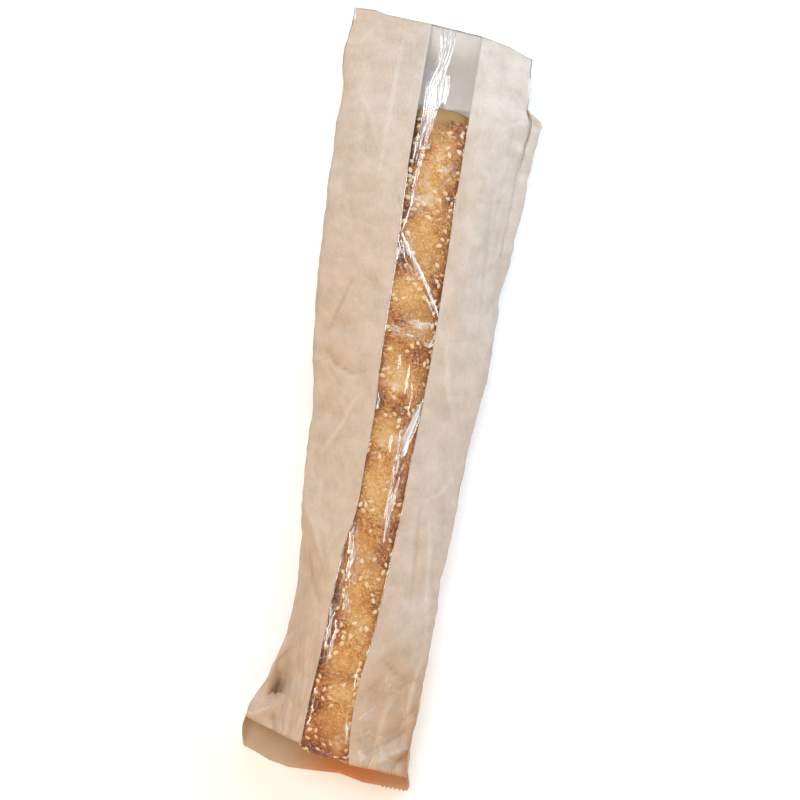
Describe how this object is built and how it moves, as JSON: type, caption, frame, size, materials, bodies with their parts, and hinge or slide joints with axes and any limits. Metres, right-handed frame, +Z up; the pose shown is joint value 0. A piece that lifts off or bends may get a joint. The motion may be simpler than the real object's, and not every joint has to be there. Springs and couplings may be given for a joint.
{
  "type": "baguette in a paper bakery bag",
  "caption": "Sesame-topped short baguette lying in a gusseted kraft paper bag with a clear film window along its front, open at the mouth.",
  "frame": {"origin": "centre of the overall box, on the ground that the bag lies on", "axes": "+X across the bag, +Y along it towards the sealed end, +Z up through the window"},
  "size_m": [0.1326, 0.4877, 0.0541],
  "materials": {
    "golden_crust": "baked crust, dry and slightly rough, with cream sesame seeds and flour dust",
    "kraft_paper": "natural brown kraft, matt, softly creased",
    "clear_film": "thin clear glossy film, wrinkled"
  },
  "bodies": {
    "root": {"baguette": "golden_crust", "paper_bag": "kraft_paper", "film_window": "clear_film"}
  },
  "joints": []
}
